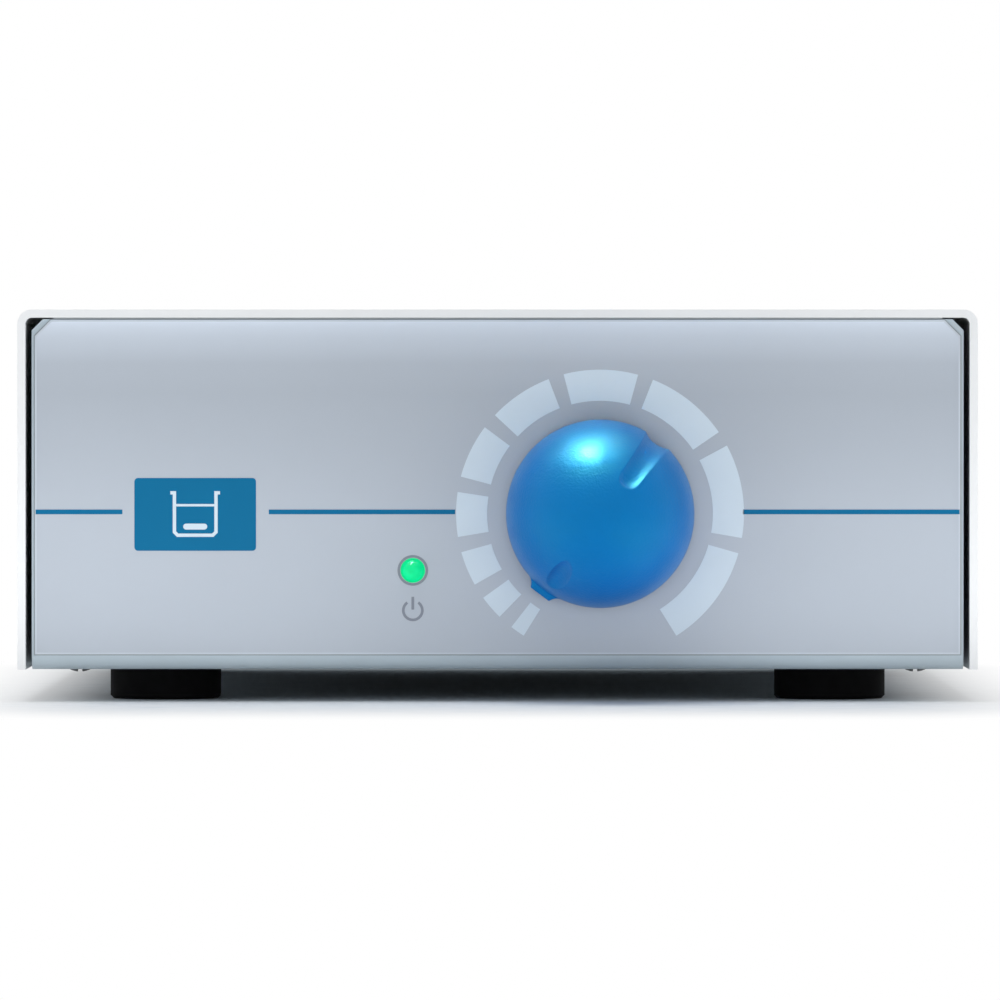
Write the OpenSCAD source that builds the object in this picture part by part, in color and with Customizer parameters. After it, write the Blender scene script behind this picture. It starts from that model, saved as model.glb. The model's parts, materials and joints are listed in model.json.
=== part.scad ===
// Compact magnetic stirrer: a bent-sheet chassis under a bent-sheet cover, one speed knob on the
// front panel, and a motor that turns a pair of magnets just below the cover's flat top.
// Millimetres, +Z up, front panel towards -Y, origin on the table under the centre of the box.

/* [Cover] */
// Outside width of the cover
body_w = 120; // [118:1:150]
// Height from the underside of the chassis to the top of the cover
body_h = 45; // [44:0.5:65]
// Depth of the cover from its front edge to its rear edge
body_d = 150; // [146:1:190]
// Thickness of the cover sheet
cover_t = 1; // [0.8:0.1:1.4]
// Outside radius of the cover's two bends
cover_r = 1.8; // [1.6:0.1:4]
// Reach of the cover past the front and rear panels
cover_lip = 1; // [0.5:0.1:1.4]

/* [Chassis] */
// Thickness of the chassis sheet
chassis_t = 1; // [0.8:0.1:1.4]
// Outside radius of the chassis bends
chassis_r = 2; // [1.6:0.1:4]
// Gap between the chassis and each side of the cover
side_gap = 0.75; // [0.4:0.05:1]
// Gap between the chassis panels and the cover's ceiling
top_gap = 0.2; // [0.1:0.05:0.6]
// Chamfer on the panels' upper corners
panel_chamfer = 1.4; // [0.8:0.1:3]

/* [Overlay] */
// Thickness of the front film
overlay_t = 0.25; // [0.15:0.05:0.5]
// Margin of bare panel beside the film
overlay_inset = 0.4; // [0.2:0.1:2]
// Radius of the film's hole round the potentiometer nut
overlay_hole_r = 7.2; // [6.8:0.1:9]

/* [Feet] */
// Diameter of a foot
foot_d = 14; // [11:0.5:18]
// Height of a foot
foot_h = 4; // [3.6:0.1:10]
// Rubber left above the screw head in a foot
foot_web = 1.6; // [1:0.1:2]
// Radius of the screw's pocket in a foot
foot_pocket_r = 3.4; // [3:0.1:4.5]
// Distance of the front feet from the sides of the chassis
front_foot_in = 16.25; // [12:0.25:20]
// Distance of the rear feet from the sides of the chassis
rear_foot_in = 12.75; // [12:0.25:16]
// Distance of the feet from the front and rear panels
foot_back = 15; // [12:0.5:16]

/* [Knob] */
// Place of the knob right of the middle
knob_x = 12.8; // [10:0.1:16]
// Height of the knob's axis above the underside of the chassis
knob_up = 19.5; // [19:0.1:22]
// Diameter of the knob
knob_d = 23.5; // [22:0.5:27]
// Height of the straight skirt under the knob's dome
knob_skirt = 2; // [1.6:0.1:4]
// Gap between the knob and the front film
knob_gap = 0.6; // [0.3:0.1:1.2]
// Wall of the knob round its hollow
knob_wall = 1.8; // [1.4:0.1:2.6]
// Reach of the pointer past the knob's rim
pointer_reach = 1.15; // [0.5:0.05:2]
// Width of the pointer's tip
pointer_w = 2.4; // [1.5:0.1:4]
// Angle of the pointer from upright at rest, anticlockwise
pointer_rest = 143; // [0:1:180]
// Radius of the two finger grooves across their length
groove_r = 2.8; // [2.2:0.1:3.4]
// Depth of the grooves in the dome
groove_depth = 0.55; // [0.3:0.05:0.7]
// Angle from the knob's nose at which the long groove starts
long_groove_from = 33; // [28:1:50]
// Angle from the knob's nose at which the pointer's scoop lies
short_groove_at = 52; // [44:1:62]
// Depth of the pointer's scoop in the dome
short_groove_depth = 0.6; // [0.3:0.05:0.7]

/* [Potentiometer] */
// Radius of the potentiometer's can
pot_r = 8.25; // [7.6:0.05:8.8]
// Depth of the can behind the panel
pot_d = 9; // [7.5:0.1:10]
// Radius of the threaded bush
pot_bush_r = 3.5; // [3.4:0.05:4]
// Length of the threaded bush
pot_bush_len = 6; // [5:0.1:7]
// Radius of the control shaft
pot_shaft_r = 3; // [2.8:0.05:3.1]
// Distance of the shaft's flat from its axis
pot_flat = 1.5; // [1.2:0.1:1.8]
// Width across the flats of the potentiometer nut
pot_nut_af = 10; // [9.4:0.1:11]

/* [Pilot lamp] */
// Distance of the lamp left of the knob
led_left = 23.4; // [21:0.1:26]
// Drop of the lamp below the knob's axis
led_drop = 7.1; // [3:0.1:8]
// Radius of the lamp's lens
led_r = 1.45; // [1.3:0.05:2]
// Height of the lens past the film
led_proud = 0.8; // [0.3:0.1:2]

/* [Power inlet] */
// Place of the inlet from the middle, towards the left seen from the front
jack_left = 38; // [30:0.5:40]
// Height of the inlet above the underside of the chassis
jack_up = 16; // [13:0.5:22]
// Radius of the inlet's threaded barrel
jack_r = 4; // [3.8:0.05:4.6]
// Radius of the plug's bore
jack_bore_r = 2.85; // [2.7:0.05:3]
// Depth of the plug's bore
jack_bore_d = 9.5; // [8.5:0.1:11]
// Radius of the centre pin
jack_pin_r = 1.05; // [0.9:0.05:1.3]
// Thickness of the inlet's flange
jack_flange_t = 1.5; // [1.2:0.1:3]

/* [Motor] */
// Diameter of the motor
motor_d = 32; // [30:0.5:34]
// Gap between the motor and the chassis floor
motor_clear = 3.8; // [3.4:0.1:6]
// Radius of the motor's shaft
shaft_r = 1.5; // [1.2:0.05:2]
// Thickness of the rubber pad between motor and bridge
pad_t = 1.5; // [1:0.1:2]
// Distance of each motor screw from the axis
motor_screw_at = 8; // [7.8:0.1:9.5]

/* [Bridge] */
// Thickness of the bridge sheet
bridge_t = 1.2; // [1:0.1:1.5]
// Depth of the bridge, front to rear
bridge_d = 36; // [32:1:42]
// Distance from the axis to the inner face of each leg
bridge_leg_at = 23; // [20:0.5:25]
// Length of each outward foot of the bridge
bridge_foot = 12; // [10:0.5:13]

/* [Magnet drive] */
// Gap between the magnets and the cover's ceiling
magnet_gap = 2.5; // [1.5:0.1:3]
// Radius of a magnet
magnet_r = 8; // [6:0.5:9]
// Height of a magnet
magnet_h = 5; // [4:0.1:5.5]
// Distance of each magnet from the axis
magnet_at = 18; // [17:0.5:22]
// Thickness of the steel yoke bar
yoke_t = 2; // [1.5:0.1:2.5]
// Height of the drive hub under the yoke
hub_h = 4; // [3.6:0.1:4.5]
// Radius of the drive hub
hub_r = 5; // [4.5:0.1:5.4]
// Gap between the hub and the bridge
hub_gap = 1; // [0.6:0.1:1.4]

/* [Circuit board] */
// Width of the board
pcb_w = 84; // [83:0.5:87]
// Gap between the board and the bridge
pcb_behind = 9.5; // [8:0.5:12]
// Thickness of the board
pcb_t = 1.6; // [1.2:0.1:2]
// Height of the board's standoffs
standoff_h = 4; // [3.6:0.1:5]
// Distance of the board's middle left of the cover's middle
pcb_left = 4; // [3:0.1:4.5]

/* [Fasteners] */
// Radius of an M3 screw
m3_r = 1.5; // [1.4:0.05:1.6]
// Distance of the cover screws from the inner sides of the cover
cover_screw_in = 5.5; // [5.3:0.1:6.5]
// Distance of the cover screws from the front and rear panels
cover_screw_back = 30; // [28:0.5:34]
// Depth of the pressed dimple round each cover screw
dimple_h = 0.8; // [0.4:0.1:1]

/* [Hidden] */
$fn = 64;

// Clearances: a seat is fixed, a run turns, a pass is a screw's clearance hole.
seat = 0.01;
run = 0.03;
pass = 0.15;
bush_pass = 0.1;       // round a threaded bush or barrel, and a lens
cut = 0.5;             // how far a cutting solid runs past the face it cuts

// Heights
base_z = foot_h;
floor_z = base_z + chassis_t;
top_z = base_z + body_h;
ceiling_z = top_z - cover_t;

// Widths
inner_w = body_w - 2 * cover_t;
chassis_w = inner_w - 2 * side_gap;
chassis_h = body_h - cover_t - top_gap;

// Depths: the knob's nose and the inlet's flange are the box's front and rear ends
knob_r = knob_d / 2;
knob_base = overlay_t + knob_gap;
knob_h = knob_skirt + knob_r;
front_reach = knob_base + knob_h - cover_lip;
rear_reach = max(0, jack_flange_t - cover_lip);
mid_y = (front_reach - rear_reach) / 2;
cover_front_y = mid_y - body_d / 2;
panel_y = cover_front_y + cover_lip;
rear_y = mid_y + body_d / 2 - cover_lip;
panel_to_panel = rear_y - panel_y;

// Overlay
overlay_low = chassis_r - 0.1;          // the film stops where the panel starts to bend
overlay_w = chassis_w - 2 * overlay_inset;
overlay_top_inset = 0.1;
overlay_chamfer = panel_chamfer + 0.6;
overlay_h = chassis_h - overlay_low - overlay_top_inset;

// M3 fasteners
m3_head_r = 2.8;
m3_head_h = 1.9;
m3_nut_af = 5.5;
m3_nut_h = 2.4;
m3_hole_r = m3_r + pass;

// Cover fixing
tab_t = 1.2;
tab_w = 12;
tab_h = 10;
tab_reach = 11;
tab_collar_r = 2.6;
tab_collar_h = 1.6;
tab_z = floor_z + dimple_h;
dimple_wall = 1;
dimple_r = m3_head_r + 0.6;
cover_screw_x = inner_w / 2 - cover_screw_in;
cover_screw_len = chassis_t + tab_t + tab_collar_h + 1;
cover_screw_y = [panel_y + cover_screw_back, rear_y - cover_screw_back];

// Feet
foot_edge = 0.4;
front_foot_x = chassis_w / 2 - front_foot_in;
rear_foot_x = chassis_w / 2 - rear_foot_in;
foot_seat_z = foot_h - foot_web;
foot_screw_len = foot_web + chassis_t + m3_nut_h + 0.6;
foot_places = [
    for (s = [-1, 1]) [s * front_foot_x, panel_y + foot_back],
    for (s = [-1, 1]) [s * rear_foot_x, rear_y - foot_back]
];

// Knob and potentiometer, measured forward from the panel's metal face
knob_z = base_z + knob_up;
pot_bush_tip = pot_bush_len - chassis_t;
knob_hollow_gap = 0.85;
knob_hollow_top = pot_bush_tip + knob_hollow_gap;
knob_dome_z = knob_base + knob_skirt;
knob_crown = 1.85;
pointer_h = 1.6;
pointer_flare = 1.6;
groove_runout = 20;
knob_bore_top = knob_base + knob_h - knob_crown;
pot_shaft_tip = knob_bore_top - 0.5;
clip_t = 0.35;
clip_w = 3.6;
pot_wall = 0.4;
pot_core_r = pot_r - pot_wall;
pot_plate_t = 1.2;
pot_wafer_t = 1.2;
wafer_pass = 0.4;
pot_back = -chassis_t - pot_d;
pot_wafer_back = -chassis_t - pot_plate_t - pot_wafer_t;
pot_tongue_w = 14;
pot_tongue_drop = 2.2;
pot_rotor_t = 1.8;
pot_rotor_front = pot_wafer_back - 0.3;
pot_rotor_r = pot_core_r - 1.4;
wiper_at = 5;
wiper_w = 1.2;
wiper_h = 0.2;
pot_switch_d = 4.5;
pot_washer_t = 0.5;
pot_washer_r = 5.8;
pot_nut_t = 2;
pot_lug_pitch = 5;
pot_lug_w = 1.2;
pot_lug_t = 0.5;
switch_lug_at = 3;
switch_lug_drop = 3.75;
switch_lug_len = 3;

// Pilot lamp
led_x = knob_x - led_left;
led_z = knob_z - led_drop;
led_flange_r = led_r + 0.45;
led_flange_t = 0.9;
led_tip = overlay_t + led_proud;
led_spacer_len = 4;
led_lead_w = 0.5;
led_lead_at = 0.8;
led_lead_back = led_flange_t + led_spacer_len + 1.6;

// Power inlet, measured outward from the rear panel's metal face
jack_x = -jack_left;
jack_z = base_z + jack_up;
jack_flange_r = jack_r + 1.5;
jack_floor = jack_flange_t - jack_bore_d;
jack_back = jack_floor - 3;
jack_pin_tip = jack_flange_t - 0.8;
jack_lug_len = 3.5;
jack_nut_af = 2 * jack_r + 3;
jack_nut_t = 2;
jack_leaf_t = 0.3;
jack_leaf_w = 2;
jack_slot_w = jack_leaf_w + 0.2;
jack_slot_depth = 0.4;
jack_stem_r = jack_pin_r + 0.25;

// Magnet drive and motor, stacked down from the cover's ceiling
magnet_top = ceiling_z - magnet_gap;
yoke_top = magnet_top - magnet_h;
yoke_z = yoke_top - yoke_t;
hub_z = yoke_z - hub_h;
bridge_top = hub_z - hub_gap;
bridge_z = bridge_top - bridge_t;
motor_top = bridge_z - pad_t;
motor_z = floor_z + motor_clear;
motor_h = motor_top - motor_z;
motor_r = motor_d / 2;
motor_wall = 1;
motor_core_r = motor_r - motor_wall;
motor_boss_r = 4;
motor_boss_h = pad_t + 0.4;
bush_r = shaft_r + 1.2;
bush_len = 4;
endbell_t = 2.5;
endbell_boss_h = 1.5;
field_t = 3;
field_gap_angle = 24;   // from the middle of each gap between the arcs to its edge
field_clear = 2;
field_h = motor_h - endbell_t - motor_wall - 2 * field_clear;
field_z = motor_z + endbell_t + field_clear;
field_in_r = motor_core_r - field_t;
armature_gap = 0.6;
armature_r = field_in_r - armature_gap;
armature_hub_r = 4;
armature_arm_w = 4;
armature_shoe_t = 1.8;
armature_shoe_angle = 45;
armature_low = 4.5;
armature_high = 1.5;
armature_h = field_h - armature_low - armature_high;
armature_z = field_z + armature_low;
coil_t = 1.3;
coil_gap = 0.05;
coil_clear = 0.6;
commutator_r = shaft_r + 1.7;
commutator_z = motor_z + endbell_t + endbell_boss_h + 0.6;
commutator_h = armature_z - coil_t - coil_gap - commutator_z - 0.2;
commutator_slot = 0.4;
brush_gap = 0.08;
brush_leaf_t = 0.4;
brush_w = 2;
brush_len = 3;
brush_lug_x = commutator_r + brush_gap + brush_len + brush_leaf_t / 2;
brush_lug_len = 2;
m26_r = 1.3;
m26_head_r = 2.4;
m26_head_h = 1.6;
motor_screw_len = bridge_t + pad_t + motor_wall + 0.8;

// Bridge
bridge_hole_r = motor_boss_r + 0.6;
bridge_half = bridge_leg_at + bridge_t;
bridge_reach = bridge_half + bridge_foot;
bridge_stud_x = bridge_half + bridge_foot / 2;
bridge_stud_y = bridge_d / 2 - 6;
stud_h = bridge_t + m3_nut_h + 2;
bridge_places = [for (sx = [-1, 1], sy = [-1, 1]) [sx * bridge_stud_x, mid_y + sy * bridge_stud_y]];

// Drive
hub_flange_r = hub_r + 3;
hub_flange_t = 1.4;
hub_spigot_r = shaft_r + 1.4;
yoke_w = 2 * magnet_r;
yoke_screw_at = (hub_spigot_r + hub_flange_r) / 2;
yoke_screw_r = 1;
yoke_screw_head_r = 1.8;
yoke_screw_head_h = 1.2;
setscrew_r = 1;
setscrew_socket = 1.2;
setscrew_z = hub_z + (hub_h - hub_flange_t) / 2;

// Circuit board
pcb_gap = 1.5;
pcb_x = -pcb_left - pcb_w / 2;
pcb_y = panel_y + chassis_t + pcb_gap;
pcb_d = mid_y - bridge_d / 2 - pcb_behind - pcb_y;
pcb_z = floor_z + standoff_h;
pcb_top = pcb_z + pcb_t;
pcb_hole_in = 3.5;
m25_r = 1.25;
m25_head_r = 2.2;
m25_head_h = 1.6;
standoff_r = 2.5;
pcb_screw_len = pcb_t + standoff_h - 1;
pcb_places = [for (x = [pcb_hole_in, pcb_w - pcb_hole_in], y = [pcb_hole_in, pcb_d - pcb_hole_in]) [x, y]];
// Places on the board are x from its left edge and y from its front edge
edge_row = pcb_d - 7;                   // front of the headers
mid_row = pcb_d - 17;                   // front of the heat sink
front_row = pcb_d - 28;                 // front of the resistors
pin_pitch = 2.54;
capacitor_sizes = [[12, mid_row + 4, 5, 16], [25, mid_row + 6, 4, 12]];    // x, y, radius, height
crimp_z = 1.2;
crimp_h = 0.4;
crimp_depth = 0.3;
resistor_count = 5;
resistor_pitch = 4;
resistor_r = 1.15;
resistor_len = 6.3;
resistor_span = 10;
resistor_row = [34, front_row];
lead_r = 0.3;
ic_size = [9.6, 6.3, 3.3];
ic_back = 5;            // behind the front of the heat sink
ic_place = [40, mid_row + ic_back];
ic_pin_w = 0.5;
sink_size = [22, 9, 20];
sink_in = 24;           // from the board's right edge to the heat sink's left side
sink_place = [pcb_w - sink_in, mid_row];
sink_wall = 1.5;
transistor_size = [10, 4.4, 9];
transistor_tab = [10, 1.3, 14];
transistor_z = 4;
transistor_leg = [0.8, 0.6, transistor_z + 0.5];
trimmer_size = [9.5, 4.8, 9];
trimmer_screw_x = 1.8;
trimmer_screw_r = 1.1;
trimmer_place = [18, front_row - 2];
header_size = [8, 6, 3];
plug_size = [7.4, 5.4, 7];
dc_header = [8, edge_row];
motor_header_in = 20;   // from the board's right edge to the header's left side
motor_header = [pcb_w - motor_header_in, edge_row];
header_places = [dc_header, motor_header];

// Wires
wire_r = 0.7;
wire_sides = 8;
wire_steps = 5;         // rings from one route point to the next
wire_lane_z = floor_z + wire_r + 0.3;   // height of a wire that runs along the floor
wire_gap = 1.2;         // from the middle of a pair to each wire, along the floor
wire_settle = 5;        // run over which a wire comes down onto the floor or leaves it
wire_low = 0.9;         // height of a wire over its lane where it starts to settle
dc_lane_x = -bridge_reach - 3;
dc_drop = [4, 12, 21];  // forward of the inlet's lugs: end of the straight, middle of the dip, near the floor
dc_spread = 2;          // from the middle of the pair to each wire, at the middle of the dip
dc_rise = 12;           // forward of the rotor's axis to where the wires leave the floor
dc_turn = 7;            // behind the plug, where the wires turn towards it
motor_lane_y = pcb_y + pcb_d + 4;
motor_gap = 1.5;        // from the middle of the pair to each wire, along the gap
motor_drop = 6;         // forward of the brush lugs to the floor
motor_run = 10;         // along the floor from there to the turn
motor_turn = [3, 4];    // sideways room for the turn off the lane's start and up to the plug
motor_climb = 6;        // height of the wires over their lane behind the plug
plug_straight = [3, 2]; // straight run of the inlet's and the motor's wires behind their plug

// ---- shared shapes ----

// Upright block with its two upper corners rounded, centred on x
module roof(w, h, r) {
    translate([-w / 2, 0]) square([w, h - r]);
    translate([-w / 2 + r, 0]) square([w - 2 * r, h]);
    for (s = [-1, 1]) translate([s * (w / 2 - r), h - r]) circle(r);
}

// Block with its two lower corners rounded, from x = 0
module trough(w, h, r) {
    translate([0, r]) square([w, h - r]);
    translate([r, 0]) square([w - 2 * r, h]);
    for (x = [r, w - r]) translate([x, r]) circle(r);
}

// Rectangle with chamfered upper corners, centred on x
module chamfered(w, h, c) {
    polygon([[-w / 2, 0], [w / 2, 0], [w / 2, h - c], [w / 2 - c, h], [-w / 2 + c, h], [-w / 2, h - c]]);
}

// Cutter that runs past both faces of a plate from z = 0 to z = t
module hole(r, t) {
    translate([0, 0, -cut]) cylinder(r = r, h = t + 2 * cut);
}

// Two of something at the same distance on both sides of the middle
module both_x(x) { for (s = [-1, 1]) translate([s * x, 0, 0]) children(); }
module both_y(y) { for (s = [-1, 1]) translate([0, s * y, 0]) children(); }

module ring(r, bore, h) {
    difference() {
        cylinder(r = r, h = h);
        hole(bore, h);
    }
}

module hex_nut(af, h, bore) {
    difference() {
        cylinder(d = af / cos(30), h = h, $fn = 6);
        hole(bore, h);
    }
}

// Screw along +Z: the domed head hangs below z = 0 and has a cross recess
module pan_screw(r, len, head_r, head_h) {
    dome_r = (head_r * head_r + head_h * head_h) / (2 * head_h);
    recess = head_h * 0.55;
    difference() {
        rotate_extrude() {
            square([r, len]);
            intersection() {
                translate([0, -head_h]) square([head_r, head_h]);
                translate([0, dome_r - head_h]) circle(dome_r);
            }
        }
        for (a = [0, 90]) rotate([0, 0, a])
            translate([-head_r * 0.55, -head_r * 0.11, -head_h - cut])
                cube([head_r * 1.1, head_r * 0.22, recess + cut]);
    }
}

// Local frames: +Z points out of the panel, and +Y of the front frame points up
module on_front(x, z) { translate([x, panel_y, z]) rotate([90, 0, 0]) children(); }
module on_rear(x, z) { translate([x, rear_y, z]) rotate([-90, 0, 0]) children(); }
module on_knob() { on_front(knob_x, knob_z) rotate([0, 0, pointer_rest]) children(); }
module on_axis(z) { translate([0, mid_y, z]) children(); }
module on_board(p) { translate([pcb_x + p[0], pcb_y + p[1], pcb_top]) children(); }

// Smooth line through a route's points
function blend(a, b, c, d, t) =
    0.5 * (2 * b + (c - a) * t + (2 * a - 5 * b + 4 * c - d) * t * t + (3 * b - a - 3 * c + d) * t * t * t);
function smooth(p) = [
    for (i = [0 : len(p) - 2], s = [0 : wire_steps - 1])
        blend(p[max(i - 1, 0)], p[i], p[i + 1], p[min(i + 2, len(p) - 1)], s / wire_steps),
    p[len(p) - 1]
];
function unit(v) = v / norm(v);
function tangent(p, i) = unit(p[min(i + 1, len(p) - 1)] - p[max(i - 1, 0)]);
function across(n, t) = unit(n - (n * t) * t);

// Round tube of radius r along the smoothed route
module wire(route, r) {
    p = smooth(route);
    n = [for (i = 0, v = across([1, 0.3, 0.2], tangent(p, 0)); i < len(p); i = i + 1,
        v = i < len(p) ? across(v, tangent(p, i)) : v) v];
    points = [
        for (i = [0 : len(p) - 1], j = [0 : wire_sides - 1])
            let (a = 360 * j / wire_sides, b = cross(tangent(p, i), n[i]))
                p[i] + r * (cos(a) * n[i] + sin(a) * b)
    ];
    walls = [
        for (i = [0 : len(p) - 2], j = [0 : wire_sides - 1])
            let (k = (j + 1) % wire_sides, a = i * wire_sides, b = a + wire_sides)
                [a + j, b + j, b + k, a + k]
    ];
    first_cap = [for (j = [0 : wire_sides - 1]) j];
    last_cap = [for (j = [wire_sides - 1 : -1 : 0]) (len(p) - 1) * wire_sides + j];
    polyhedron(points, concat(walls, [first_cap, last_cap]));
}

// ---- cover ----

module cover() {
    color("white") translate([0, mid_y + body_d / 2, base_z]) rotate([90, 0, 0])
        linear_extrude(body_d) difference() {
            roof(body_w, body_h, cover_r);
            translate([0, -cut]) roof(inner_w, body_h - cover_t + cut, cover_r - cover_t);
        }
}

// Angle tabs welded inside the cover's sides, with tapped collars
module cover_tabs() {
    color("silver") for (s = [-1, 1], y = cover_screw_y)
        translate([s * cover_screw_x, y, tab_z]) scale([s, 1, 1]) difference() {
            union() {
                translate([cover_screw_in - tab_reach, -tab_w / 2, 0]) cube([tab_reach, tab_w, tab_t]);
                translate([cover_screw_in - tab_t, -tab_w / 2, 0]) cube([tab_t, tab_w, tab_h]);
                cylinder(r = tab_collar_r, h = tab_t + tab_collar_h);
            }
            hole(m3_r + seat, tab_t + tab_collar_h);
        }
}

module cover_screws() {
    color("dimgray") for (s = [-1, 1], y = cover_screw_y)
        translate([s * cover_screw_x, y, base_z + dimple_h])
            pan_screw(m3_r, cover_screw_len, m3_head_r, m3_head_h);
}

// ---- chassis ----

module chassis_bend() {
    translate([-chassis_w / 2, 0, 0]) rotate([90, 0, 90]) linear_extrude(chassis_w)
        translate([panel_y, base_z]) difference() {
            trough(panel_to_panel, chassis_h, chassis_r);
            translate([chassis_t, chassis_t])
                trough(panel_to_panel - 2 * chassis_t, chassis_h, chassis_r - chassis_t);
        }
}

module chassis() {
    color("gainsboro") difference() {
        union() {
            intersection() {
                chassis_bend();
                translate([0, rear_y + cut, base_z]) rotate([90, 0, 0])
                    linear_extrude(panel_to_panel + 2 * cut) chamfered(chassis_w, chassis_h, panel_chamfer);
            }
            for (s = [-1, 1], y = cover_screw_y) translate([s * cover_screw_x, y, floor_z - chassis_t / 2])
                cylinder(r = dimple_r + dimple_wall, h = chassis_t / 2 + dimple_h);
        }
        for (s = [-1, 1], y = cover_screw_y) translate([s * cover_screw_x, y, base_z]) {
            translate([0, 0, -cut]) cylinder(r = dimple_r, h = dimple_h + cut);
            hole(m3_hole_r, chassis_t + dimple_h);
        }
        for (p = foot_places) translate([p[0], p[1], base_z]) hole(m3_hole_r, chassis_t);
        on_front(knob_x, knob_z) translate([0, 0, -chassis_t]) hole(pot_bush_r + bush_pass, chassis_t);
        on_front(led_x, led_z) translate([0, 0, -chassis_t]) hole(led_r + pass, chassis_t);
        on_rear(jack_x, jack_z) translate([0, 0, -chassis_t]) hole(jack_r + bush_pass, chassis_t);
    }
}

module weld_studs() {
    color("silver") for (p = bridge_places) translate([p[0], p[1], floor_z])
        cylinder(r = m3_r, h = stud_h);
}

module front_overlay() {
    color("lightsteelblue") difference() {
        translate([0, panel_y, base_z + overlay_low]) rotate([90, 0, 0])
            linear_extrude(overlay_t) chamfered(overlay_w, overlay_h, overlay_chamfer);
        on_front(knob_x, knob_z) hole(overlay_hole_r, overlay_t);
        on_front(led_x, led_z) hole(led_r + bush_pass, overlay_t);
    }
}

// ---- feet ----

module feet() {
    r = foot_d / 2;
    color("black") for (p = foot_places) translate([p[0], p[1], 0]) rotate_extrude() polygon([
        [foot_pocket_r, 0], [r - foot_edge, 0], [r, foot_edge], [r, foot_h],
        [m3_hole_r, foot_h], [m3_hole_r, foot_seat_z], [foot_pocket_r, foot_seat_z]
    ]);
}

module foot_screws() {
    color("silver") for (p = foot_places) translate([p[0], p[1], foot_seat_z])
        pan_screw(m3_r, foot_screw_len, m3_head_r, m3_head_h);
}

module foot_nuts() {
    color("silver") for (p = foot_places) translate([p[0], p[1], floor_z])
        hex_nut(m3_nut_af, m3_nut_h, m3_r + seat);
}

// ---- knob ----

// Half section of the knob, with its hollow
module knob_section() {
    difference() {
        union() {
            translate([0, knob_base]) square([knob_r, knob_skirt]);
            intersection() {
                translate([0, knob_dome_z]) circle(knob_r, $fn = 128);
                translate([0, knob_dome_z]) square([knob_r, knob_r]);
            }
        }
        translate([0, knob_base - cut]) square([knob_r - knob_wall, knob_hollow_top - knob_base + cut]);
    }
}

// Sphere sunk into the dome, at an angle from its nose towards +Y
module scoop(a, r, depth) {
    translate([0, 0, knob_dome_z]) rotate([-a, 0, 0]) translate([0, 0, knob_r - depth + r]) sphere(r);
}

// Round-bottomed groove that follows the dome from the scoop at its start, and cuts the skirt
module long_groove() {
    scoop(long_groove_from, groove_r + 0.4, groove_depth);
    translate([0, 0, knob_dome_z]) rotate([0, -90, 0]) rotate([0, 0, long_groove_from])
        rotate_extrude(angle = 90 + groove_runout - long_groove_from)
            translate([knob_r - groove_depth + groove_r, 0]) circle(groove_r);
}

module knob_pointer() {
    root = pointer_w + pointer_flare;
    translate([0, 0, knob_base]) linear_extrude(pointer_h) polygon([
        [-root / 2, knob_r - knob_wall / 2], [root / 2, knob_r - knob_wall / 2],
        [pointer_w / 2, knob_r + pointer_reach], [-pointer_w / 2, knob_r + pointer_reach]
    ]);
}

// Round bar with a flat towards -X
module d_bar(r, flat, len) {
    intersection() {
        cylinder(r = r, h = len);
        translate([-flat, -r, 0]) cube([flat + r, 2 * r, len]);
    }
}

module knob() {
    color("deepskyblue") on_knob() difference() {
        union() {
            rotate_extrude($fn = 128) knob_section();
            knob_pointer();
        }
        scoop(short_groove_at, groove_r, short_groove_depth);
        rotate([0, 0, 180]) long_groove();
        translate([0, 0, knob_hollow_top - cut])
            d_bar(pot_shaft_r + run, pot_flat + clip_t + 2 * run, knob_bore_top - knob_hollow_top + cut);
    }
}

// Spring leaf between the shaft's flat and the knob's bore
module knob_clip() {
    color("silver") on_knob()
        translate([-pot_flat - clip_t - run, -clip_w / 2, knob_hollow_top + 0.4])
            cube([clip_t, clip_w, pot_shaft_tip - knob_hollow_top - 0.8]);
}

// ---- potentiometer ----

module pot_shaft() {
    back = pot_rotor_front - pot_rotor_t;
    flat_from = knob_hollow_top - 0.3;
    color("silver") on_knob() {
        translate([0, 0, back]) cylinder(r = pot_shaft_r, h = flat_from - back);
        translate([0, 0, flat_from]) d_bar(pot_shaft_r, pot_flat, pot_shaft_tip - flat_from);
    }
}

// Moulded carrier with two wiper fingers
module pot_rotor() {
    color("ivory") on_knob() {
        translate([0, 0, pot_rotor_front - pot_rotor_t]) ring(pot_rotor_r, pot_shaft_r + seat, pot_rotor_t);
        both_x(wiper_at) translate([-wiper_w / 2, -wiper_w / 2, pot_rotor_front - 0.2])
            cube([wiper_w, wiper_w, wiper_h + 0.2]);
    }
}

module pot_bush() {
    color("tan") on_front(knob_x, knob_z) difference() {
        union() {
            translate([0, 0, -chassis_t - pot_plate_t]) cylinder(r = pot_core_r - seat, h = pot_plate_t);
            translate([0, 0, -chassis_t - 0.2]) cylinder(r = pot_bush_r, h = pot_bush_len + 0.2);
        }
        translate([0, 0, -chassis_t - pot_plate_t]) hole(pot_shaft_r + run, pot_bush_len + pot_plate_t);
    }
}

// Resistive track board, with the tongue that carries the lugs
module pot_wafer() {
    color("saddlebrown") on_front(knob_x, knob_z) translate([0, 0, pot_wafer_back]) difference() {
        union() {
            cylinder(r = pot_core_r - seat, h = pot_wafer_t);
            translate([-pot_tongue_w / 2, -pot_r - pot_tongue_drop, 0])
                cube([pot_tongue_w, pot_r + pot_tongue_drop - pot_core_r * 0.6, pot_wafer_t]);
        }
        hole(pot_shaft_r + wafer_pass, pot_wafer_t);
    }
}

// Soldering lugs from the tongue down to the board
module pot_lugs() {
    from = -pot_r - 0.3;
    to = pcb_top - knob_z;
    color("gold") on_front(knob_x, knob_z) for (i = [-1 : 1])
        translate([i * pot_lug_pitch - pot_lug_w / 2, to, pot_wafer_back - pot_lug_t])
            cube([pot_lug_w, from - to, pot_lug_t]);
}

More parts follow.
